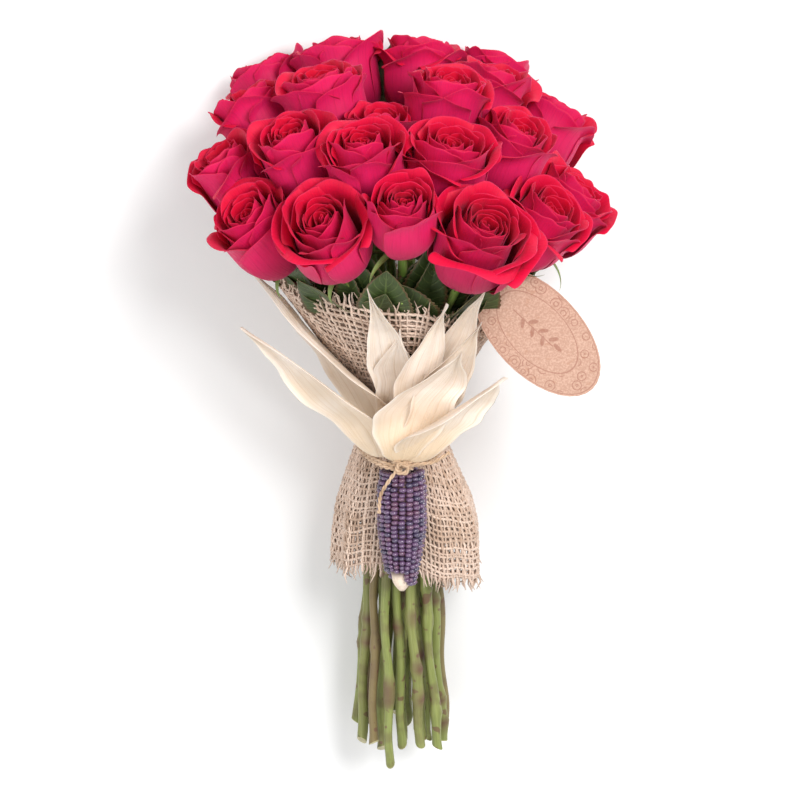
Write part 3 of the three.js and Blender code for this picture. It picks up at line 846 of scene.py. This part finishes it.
# of each turn: its seed, how far it lies inside the outer one, and whether it is seen
WRAP_TURNS = {"burlap_outer_turn": (300, 0, True), "burlap_inner_turn": (301, 2.3, False)}

jute = burlap_finish()
for name, (seed, inward, seen) in WRAP_TURNS.items():
    burlap = sheet_mesh(name, burlap_turn(np.random.default_rng(seed), inward, seen))
    burlap.data.materials.append(jute)
    bpy.ops.object.shade_smooth()
    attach(burlap, "root")
    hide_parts("burlap_wrap")

# ---- husks ----
# The ear's dried husks, peeled back up over the burlap and fanned: papery, ivory, ribbed lengthwise, with
# thin rolled edges and pointed tips.
HUSK_THICKNESS = 0.00035
HUSK_FOOT = 0.09  # how far up its solid a husk's foot is, as a share of the solid's length
# of each husk: width against its solid, how far its edges curl to the front and its tip turns over, its
# twist, how far its foot bulges over the tie, half the foot's width, and its length against its solid
HUSK_SHAPES = {
    1: (1.75, 0.3, 5, 0.5, 2, 6, 1.12), 2: (1.35, 0.3, -2, -0.3, 0, 4, 1.08),
    3: (1.3, 0.35, 3, 0.4, 0, 4, 1.1), 4: (1.5, 0.34, 3, -0.35, 7, 9, 0.98),
    5: (1.5, 0.3, -2, 0.35, 0, 5, 0.97), 6: (1.45, -0.2, 3, -0.4, 0, 5, 1.05),
    7: (1.45, 0.4, 4, 0.5, 4, 6, 1.02), 8: (1.22, 0.2, 2, 0.15, 9, 13, 0.98),
    9: (1.85, 0.4, -3, -0.5, 6, 7, 0.95),
}


def husk_finish():
    """Papery dry husk: ivory with fine raised veins along it, golden and darker towards its foot."""
    finish = Finish("dry husk")
    across, along = finish.parts(finish.along())
    veins = finish.noise(finish.along((34, 1.1, 1)), 1.0, 2.0)
    threads = finish.noise(finish.along((110, 2.5, 1)), 1.0, 1.0)
    patches = finish.noise(finish.place(), 32.0, 3.0)
    tone = finish.kept("tone")
    colour = finish.mix(patches.step(0.3, 0.72), (0.8, 0.66, 0.53), (0.93, 0.82, 0.72))
    colour = finish.mix(veins.step(0.48, 0.7) * 0.5, colour, (0.66, 0.47, 0.31))
    colour = finish.mix(threads.step(0.5, 0.8) * 0.25, colour, (0.6, 0.42, 0.28))
    colour = finish.mix((1 - along).step(0.4, 1.0) * (0.4 + tone * 0.4), colour, (0.62, 0.41, 0.2))
    rim = (abs(across - 0.5) * 2).step(0.8, 1.0)
    colour = finish.mix(tone * 0.16 + rim * 0.45, colour, (0.95, 0.87, 0.78))
    return finish.surface(
        {
            "Base Color": colour,
            "Roughness": 0.62 + veins * 0.15,
            "Normal": finish.bump(veins + threads * 0.5, 0.6, 0.0009),
            "Subsurface Weight": 0.12,
            "Subsurface Radius": (1.0, 0.75, 0.5),
            "Subsurface Scale": 0.003,
            "Specular IOR Level": 0.35,
        }
    )


husk_paper = husk_finish()
husk_u, husk_v, husk_blocks = grid_blank(14, 40)
for number, (wide, cup, hook, twist, bulge, foot_half, long) in HUSK_SHAPES.items():
    rng = np.random.default_rng(400 + number)
    node = f"husk_{number:02d}"
    rows = levels(np.unique(upright(node).round(1), axis=0), 2.5)
    middle = np.array([row.mean(0) for row in rows])
    ends = np.array([row[np.abs(row - row.mean(0)).sum(1).argmax()] - row.mean(0) for row in rows])
    half = np.linalg.norm(ends, axis=1)
    out = unit(middle * (1, 1, 0))
    at = (HUSK_FOOT + (long - HUSK_FOOT) * husk_v) * (len(rows) - 1)
    line = np.stack([np.interp(at, np.arange(len(rows)), middle[:, k]) for k in range(3)], 1)
    line += np.maximum(at - (len(rows) - 1), 0)[:, None] * (middle[-2] - middle[-5]) / 3
    out = unit(np.stack([np.interp(at, np.arange(len(rows)), out[:, k]) for k in range(3)], 1))
    fullness = np.sin(pi * np.clip(husk_v, 0, 1) ** 0.8 * 0.93 + 0.12) ** 0.75
    width = np.maximum(0.25, half.max() * wide * fullness * smooth(1.015, 0.6, husk_v) ** 0.8)
    width = np.maximum(width, foot_half * smooth(0.3, 0.05, husk_v) * smooth(-0.06, 0.07, husk_v))
    uneven = 0.05 * np.sin(husk_v * 13 + rng.uniform(0, 6))
    uneven = uneven + 0.03 * np.sin(husk_v * 31 + rng.uniform(0, 6))
    width = width * (1 + uneven)
    open_up = smooth(0.12, 0.5, husk_v)
    turn = twist * open_up * husk_v
    tangent = np.stack([out[:, 1], -out[:, 0], np.zeros(len(out))], 1)
    across = husk_u * width + 0.1 * width * np.sin(husk_v * 8 + rng.uniform(0, 6)) * open_up
    pleat = 0.6 * np.sin(husk_u * 8 + rng.uniform(0, 6)) + 0.3 * np.sin(husk_u * 17 + rng.uniform(0, 6))
    rolled = 1.7 * smooth(0.72, 1.0, np.abs(husk_u))
    rolled = rolled * (1 + 0.6 * np.sin(husk_v * 9 + 2 * husk_u + rng.uniform(0, 6)))
    edge = rng.uniform(0.5, 1.3) * np.sin(husk_v * 17 + 2 * husk_u + rng.uniform(0, 6))
    edge = edge * np.abs(husk_u) ** 3
    off = cup * np.abs(across) * np.abs(husk_u) * open_up + (pleat + edge + rolled) * open_up
    off = off + hook * smooth(0.74, 1.0, husk_v) ** 2 + 0.6
    off = off + bulge * smooth(0.34, 0.04, husk_v) * (1 - 0.2 * husk_u**2)
    sideways = across * np.cos(turn) - off * np.sin(turn)
    off = across * np.sin(turn) + off * np.cos(turn)
    places = line + tangent * sideways[:, None] + out * off[:, None]
    husk = sheet_mesh(f"dry_{node}", [(laid(places), husk_blocks, {"tone": rng.uniform(0, 1)})])
    husk.data.materials.append(husk_paper)
    thicken(husk, HUSK_THICKNESS)
    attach(husk, "root")
    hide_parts(node)

# ---- ear of corn ----
# A small ear of dark ornamental corn, tip down: rows of hard glossy kernels, blue-black to purple, on a cob
# that is painted dark wine-brown between them as shade, and ivory at its bare tip. The shank above it is
# pale and dry.
KERNEL_ROWS = 18
KERNEL_PITCH = 2.9
KERNEL_DEPTH = 2.8
SHANK_RADIUS = 5.6
EAR_RADIUS = 15

ear = upright("corn_cob")
ear = np.unique(ear.round(2), axis=0)
shank_foot = np.quantile(ear[:, 2], 0.98) - 22
kernel_band = ear[ear[:, 2] < shank_foot]
ear_middle = kernel_band.mean(0)
ear_axis = np.linalg.svd(kernel_band - ear_middle)[2][0]
ear_axis *= -np.sign(ear_axis[2])  # towards the tip
ear_side = unit(np.cross(ear_axis, (1, 0, 0)))
ear_other = np.cross(ear_axis, ear_side)
heights = (kernel_band - ear_middle) @ ear_axis
ear_top, ear_tip = heights.min(), heights.max()


def ear_radius(height):
    """The ear is full for most of its length, narrows to its tip and a little at its top."""
    share = (height - ear_top) / (ear_tip - ear_top)
    return EAR_RADIUS * (1 - 0.48 * smooth(0.35, 1.1, share) - 0.1 * smooth(0.06, -0.04, share))


def kernel_finish():
    """Hard glossy kernel skin: each kernel its own shade of blue-black, purple or wine."""
    finish = Finish("dark kernel")
    tone = finish.kept("tone")
    streak = finish.noise(finish.place(), 300.0, 2.0)
    colour = finish.mix(tone.step(0.0, 0.55), (0.055, 0.042, 0.09), (0.135, 0.07, 0.15))
    colour = finish.mix(tone.step(0.7, 1.0) * 0.8, colour, (0.15, 0.06, 0.1))
    colour = finish.mix(streak.step(0.5, 0.75) * 0.4, colour, (0.13, 0.1, 0.16))
    return finish.surface(
        {
            "Base Color": colour,
            "Roughness": 0.24 + streak * 0.14,
            "Normal": finish.bump(streak, 0.2, 0.0003),
            "Coat Weight": 0.8,
            "Coat Roughness": 0.07,
        }
    )


def cob_finish():
    """Chaffy cob: painted shade, dark wine-brown, between the kernels, and ivory where it is bare."""
    finish = Finish("corn cob")
    chaff = finish.noise(finish.place(), 700.0, 3.0)
    # painted shade: the cob is dark where it shows between the kernels, and its own ivory where it is bare
    colour = finish.mix(finish.kept("bare"), (0.09, 0.04, 0.05), (0.82, 0.68, 0.55))
    colour = finish.mix(chaff.step(0.45, 0.7) * 0.35, colour, (0.5, 0.36, 0.28))
    rough = finish.bump(chaff, 0.6, 0.0006)
    return finish.surface({"Base Color": colour, "Roughness": 0.8, "Normal": rough})


bpy.ops.mesh.primitive_uv_sphere_add(segments=8, ring_count=6, radius=1)
ball = bpy.context.active_object
kernel_ball = np.array([vertex.co[:] for vertex in ball.data.vertices])
ball_faces = [face.vertices[:][::-1] for face in ball.data.polygons]
ball_corners = [np.array([face for face in ball_faces if len(face) == count]) for count in (3, 4)]
kernel_blocks = [(corners, np.full((*corners.shape, 2), 0.5)) for corners in ball_corners]
bpy.data.objects.remove(ball)
kernel_ball = np.sign(kernel_ball) * np.abs(kernel_ball) ** 0.84  # squarer than a ball

rng = np.random.default_rng(500)
low, high = ear_top - 6, ear_tip - 6
bare_side = unit(np.array([-0.8, 0.6, 0]))  # where the tip has lost its kernels
kernels = []
for row in range(KERNEL_ROWS):
    around = 2 * pi * row / KERNEL_ROWS
    for step in np.arange(low, high, KERNEL_PITCH) + rng.uniform(0, 1.2):
        if step > high:
            continue
        reach = ear_radius(step)
        angle = around + rng.normal(0, 0.02)
        out = ear_side * cos(angle) + ear_other * sin(angle)
        beside = np.cross(ear_axis, out)
        if step > high - 8 and out @ bare_side > 0.5:
            continue
        wide = pi * reach / KERNEL_ROWS * 0.93
        size = rng.uniform(0.93, 1.05)
        shape = kernel_ball * (wide * size, KERNEL_PITCH * 0.54 * size, KERNEL_DEPTH)
        middle = ear_middle + ear_axis * (step + rng.normal(0, 0.2))
        middle = middle + out * (reach - KERNEL_DEPTH * 0.75 + rng.normal(0, 0.15))
        places = middle + shape[:, :1] * beside + shape[:, 1:2] * ear_axis + shape[:, 2:] * out
        kernels.append((laid(places), kernel_blocks, {"tone": rng.uniform(0, 1)}))
kernels_piece = sheet_mesh("corn_kernels", kernels)
kernels_piece.data.materials.append(kernel_finish())
bpy.ops.object.shade_smooth()

core_steps = np.linspace(ear_top - 4, ear_tip - 0.5, 40)
core_path = ear_middle + ear_axis * core_steps[:, None]
core_end = smooth(ear_tip + 1.2, ear_tip - 7, core_steps) ** 0.5
core_radii = np.maximum(1.2, (ear_radius(core_steps) - KERNEL_DEPTH * 1.15) * core_end)
places, blocks = tube(core_path, core_radii, 24)
core_share = (core_steps - ear_top) / (ear_tip - ear_top)
core = [(laid(places.reshape(-1, 3)), blocks, {"bare": np.repeat(smooth(0.8, 0.88, core_share), 24)})]
shank_low = kernel_band[kernel_band[:, 2] > shank_foot - 4].mean(0)
shank_top = ear[ear[:, 2] > shank_foot + 12].mean(0)
shank_line = np.array([shank_low, shank_top, shank_top + (0, 0, 4)])
places, blocks = tube(curve_through(shank_line, 16), SHANK_RADIUS, 16)
core.append((laid(places.reshape(-1, 3)), blocks, {"bare": 0.8}))
cob = sheet_mesh("corn_core", core)
cob.data.materials.append(cob_finish())
bpy.ops.object.shade_smooth()
for piece, slot in ((kernels_piece, "kernel"), (cob, "husk")):
    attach(piece, "root")
    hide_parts("corn_cob")

# ---- raffia tie ----
# Raffia twisted into a two-ply cord, wound twice round the wrap and the husks' feet and knotted in front.
TIE_TURNS = 2
TIE_PLIES = 2
PLY_RADIUS = 0.8
LAY_LENGTH = 8.5  # of one full twist of the plies


def raffia_finish():
    """Dry raffia: tan, with darker fibres along it."""
    finish = Finish("raffia")
    fibres = finish.noise(finish.along((7, 1.6, 1)), 1.0, 3.0)
    patches = finish.noise(finish.place(), 90.0, 2.0)
    colour = finish.mix(patches.step(0.3, 0.7), (0.42, 0.27, 0.16), (0.62, 0.44, 0.3))
    colour = finish.mix(fibres.step(0.5, 0.75) * 0.5, colour, (0.24, 0.14, 0.07))
    return finish.surface(
        {
            "Base Color": colour,
            "Roughness": 0.7,
            "Normal": finish.bump(fibres, 0.7, 0.0005),
            "Sheen Weight": 0.1,
        }
    )


def loop_of(corners, count, width=0.1):
    """The middle line of a closed ring, as count places round it, from its corners."""
    corners = np.unique(corners.round(2), axis=0)
    middle = corners.mean(0)
    spread, axes = np.linalg.svd(corners - middle, full_matrices=False)[1:]
    flat = (corners - middle) @ axes.T
    angles = np.arctan2(flat[:, 1] / spread[1], flat[:, 0] / spread[0])
    places = []
    for angle in np.linspace(0, 2 * pi, count, endpoint=False):
        away = (angles - angle + pi) % (2 * pi) - pi
        weights = np.exp(-((away / width) ** 2))
        places.append((corners * weights[:, None]).sum(0) / weights.sum())
    return np.array(places)


def laid_rope(path, plies, radius, lay, sides):
    """A laid cord along a path: its plies as shapes."""
    lengths = np.concatenate([[0], np.cumsum(np.linalg.norm(np.diff(path, axis=0), axis=1))])
    ahead = unit(np.gradient(path, axis=0))
    side = unit(np.cross(ahead, (0.12, 0.21, 0.97)))
    other = np.cross(ahead, side)
    shapes = []
    for ply in range(plies):
        turn = 2 * pi * (lengths / lay + ply / plies)
        offset = side * np.cos(turn)[:, None] + other * np.sin(turn)[:, None]
        places, blocks = tube(path + offset * radius * 0.82, radius, sides)
        shapes.append((laid(places.reshape(-1, 3)), blocks, {}))
    return shapes


raffia = raffia_finish()
ring = loop_of(upright("twine_tie"), 160, 0.12)
front_first = np.argmin(np.abs(np.arctan2(ring[:, 0], ring[:, 1])))
ring = np.roll(ring, -front_first, 0)
winding = np.concatenate([ring] * TIE_TURNS + [ring[:6]])
share = np.linspace(0, 1, len(winding))
winding[:, 2] = ring[:, 2].mean() + 4.4 * (share - 0.5) + 0.35 * np.sin(share * 40)
winding[:, :2] *= (1 + 0.006 * np.sin(share * 31))[:, None]
tie_shapes = laid_rope(winding, TIE_PLIES, PLY_RADIUS, LAY_LENGTH, 6)
knot_place = ring[0] + (0, 1.6, 0)
knot_points = [
    (-5, -1.5, 3), (-1, 1.2, 3.4), (3.4, 2, 1), (2, 2.6, -2.6),
    (-2.6, 2.4, -2), (-2.4, 1.6, 2), (2, 0.6, 3), (6, -1.8, -2),
]
knot_line = curve_through(knot_place + np.array(knot_points), 60)
tie_shapes += laid_rope(knot_line, TIE_PLIES, PLY_RADIUS, LAY_LENGTH, 6)
ends = (
    [(3, 1.5, 1), (10, 4.5, 4), (19, 4, 5), (29, 3, 11)],
    [(-3, 1.5, -1), (-8, 5, -7), (-13, 6, -16), (-14, 8, -27)],
)
for points in ends:
    end_line = curve_through(knot_place + np.array(points), 40)
    tie_shapes += laid_rope(end_line, TIE_PLIES, PLY_RADIUS * 0.85, LAY_LENGTH, 6)
tie = sheet_mesh("raffia_tie", tie_shapes)
tie.data.materials.append(raffia)
bpy.ops.object.shade_smooth()
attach(tie, "root")
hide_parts("twine_tie")

# ---- tag and its string ----
# A stiff oval of kraft card with a punched hole, printed in a darker tone: a ring of curls round its rim and
# a small leafy sprig in the middle. It hangs on a loop of thin string.
STRING_PLIES = 2
STRING_RADIUS = 0.42  # of each ply
STRING_LAY = 3.2  # of one full twist of the plies
string_loop = loop_of(upright("tag_string"), 120, 0.16)
string_loop = np.concatenate([string_loop, string_loop[:3]])
string_shapes = laid_rope(string_loop, STRING_PLIES, STRING_RADIUS, STRING_LAY, 5)
string = sheet_mesh("tag_loop", string_shapes)
string.data.materials.append(raffia)
bpy.ops.object.shade_smooth()
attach(string, "root")
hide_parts("tag_string")

TAG_FACE = radians(68.3)  # how far the card is tipped up to face the front
TAG_TURN = radians(-46)  # its turn in its own plane
TAG_HALF = (0.0475, 0.026)  # half its length and width, in metres
CURL_SCALE = 115.0  # curls to the metre
SPRIG_LEAF = (0.0036, 0.0014)  # half the length and width of the printed sprig's leaves
tag_tilt = Matrix.Rotation(LAY_TILT - pi / 2 + TAG_FACE, 3, "X")
tag_axes = np.array(tag_tilt @ Matrix.Rotation(TAG_TURN, 3, "Z"))


def tag_finish():
    """Kraft card: warm brown fibres, with the print in a darker ink."""
    finish = Finish("kraft card")
    to_card = Matrix(tag_axes).transposed()
    shift = -(to_card @ Vector(laid(TAG_PLACE)))
    here = finish.node("ShaderNodeTexCoord", {}, {}, out=3)
    on_card = finish.node(
        "ShaderNodeMapping", {}, {"Vector": here, "Rotation": to_card.to_euler(), "Location": shift}
    )
    x, y = finish.parts(on_card)
    rim = ((x / TAG_HALF[0]) ** 2 + (y / TAG_HALF[1]) ** 2) ** 0.5
    cells = {"voronoi_dimensions": "2D", "feature": "F1"}
    vectors = {"Vector": on_card, "Scale": CURL_SCALE, "Randomness": 0.55}
    near = finish.node("ShaderNodeTexVoronoi", cells, vectors, out=0)
    centre = finish.node("ShaderNodeTexVoronoi", cells, vectors, out=2)
    cx, cy = finish.parts(centre)
    from_centre_y = y * CURL_SCALE - cy
    angle = from_centre_y.sum("ARCTAN2", from_centre_y, x * CURL_SCALE - cx)
    curl = (near * 26 + angle * 2).sum("SINE", near * 26 + angle * 2)
    lines = curl.step(0.35, 0.85) * (1 - near.step(0.42, 0.5))
    band = rim.step(0.66, 0.69) * (1 - rim.step(0.93, 0.96))
    ring_line = (1 - abs(rim - 0.64).step(0.006, 0.014)) + (1 - abs(rim - 0.965).step(0.004, 0.012))
    sprig = None
    for k in range(7):
        side = 1 if k % 2 else -1
        at = Vector((-0.012 + 0.004 * k, 0.0005 * k * k * 0.12, 0))
        lean = radians(52) * side if k < 6 else 0
        middle = at + 0.0032 * Vector((cos(lean), sin(lean), 0))
        sockets = {"Vector": on_card, "Location": middle, "Rotation": (0, 0, lean)}
        leaf = finish.node("ShaderNodeMapping", {"vector_type": "TEXTURE"}, sockets)
        lx, ly = finish.parts(leaf)
        blade = 1 - ((lx / SPRIG_LEAF[0]) ** 2 + (ly / SPRIG_LEAF[1]) ** 2).step(0.6, 1.0)
        sprig = blade if sprig is None else sprig.sum("MAXIMUM", sprig, blade)
    twig = (1 - abs(y - x * 0.05).step(0.0002, 0.0005)) * x.step(-0.02, -0.019) * (1 - x.step(0.012, 0.013))
    ink = (lines * band).sum("MAXIMUM", lines * band, ring_line)
    ink = ink.sum("MAXIMUM", ink, sprig.sum("MAXIMUM", sprig, twig))
    fibres = finish.noise(finish.place(), 900.0, 3.0)
    speckle = finish.noise(finish.place(), 260.0, 2.0)
    colour = finish.mix(fibres.step(0.35, 0.7), (0.42, 0.245, 0.175), (0.54, 0.345, 0.26))
    colour = finish.mix(speckle.step(0.62, 0.7) * 0.4, colour, (0.4, 0.2, 0.12))
    colour = finish.mix(ink * (0.5 + speckle * 0.3), colour, (0.28, 0.115, 0.075))
    fuzz = finish.bump(fibres, 0.25, 0.0002)
    return finish.surface({"Base Color": colour, "Roughness": 0.78, "Normal": fuzz})


kraft = tag_finish()
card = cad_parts["tag"]
card.data.materials.clear()
card.data.materials.append(kraft)

# ---- table, light and camera ----
# A pale table top under soft studio light. The camera looks down on the bunch, a little from the flowers'
# side.
bpy.ops.mesh.primitive_plane_add(size=6, location=(0, 0, 0))
table = bpy.context.active_object
table.name = table.data.name = "table_top"
plain = Finish("table top")
table.data.materials.append(plain.surface({"Base Color": (0.9, 0.9, 0.9, 1), "Roughness": 0.9}))

LOOK_TILT = radians(21.5) - LAY_TILT  # the camera's lean from straight above, towards the flowers' side
LOOK_DISTANCE = 2.4
VIEW_WIDTH = 0.496  # that the camera takes in at the bunch, in metres
ROOM_LIGHT = 0.66
look = Vector((0, sin(LOOK_TILT), cos(LOOK_TILT)))
up = Vector((0, cos(LOOK_TILT), -sin(LOOK_TILT)))
aim = Vector(laid((-1.2, 0, 20.8)))
bpy.ops.object.camera_add(location=aim + look * LOOK_DISTANCE)
camera = bpy.context.active_object
camera.rotation_euler = Matrix((Vector((1, 0, 0)), up, look)).transposed().to_euler()
camera.data.lens = camera.data.sensor_width * LOOK_DISTANCE / VIEW_WIDTH
bpy.context.scene.camera = camera


def soft_light(place, size, power, towards=(0, 0.1, 0.1)):
    """A round soft lamp of a size and power, turned to the bunch."""
    bpy.ops.object.light_add(type="AREA", location=place)
    light = bpy.context.active_object
    light.data.shape = "DISK"
    light.data.size = size
    light.data.energy = power
    light.rotation_euler = (Vector(towards) - Vector(place)).to_track_quat("-Z", "Y").to_euler()


bpy.context.scene.view_settings.view_transform = "Standard"
soft_light((0.75, 0.8, 1.6), size=0.9, power=32)
soft_light((-0.9, -0.4, 1.5), size=1.4, power=11)
world = bpy.data.worlds.new("studio")
world.use_nodes = True
world.node_tree.nodes["Background"].inputs["Color"].default_value = (1, 1, 1, 1)
world.node_tree.nodes["Background"].inputs["Strength"].default_value = ROOM_LIGHT
bpy.context.scene.world = world
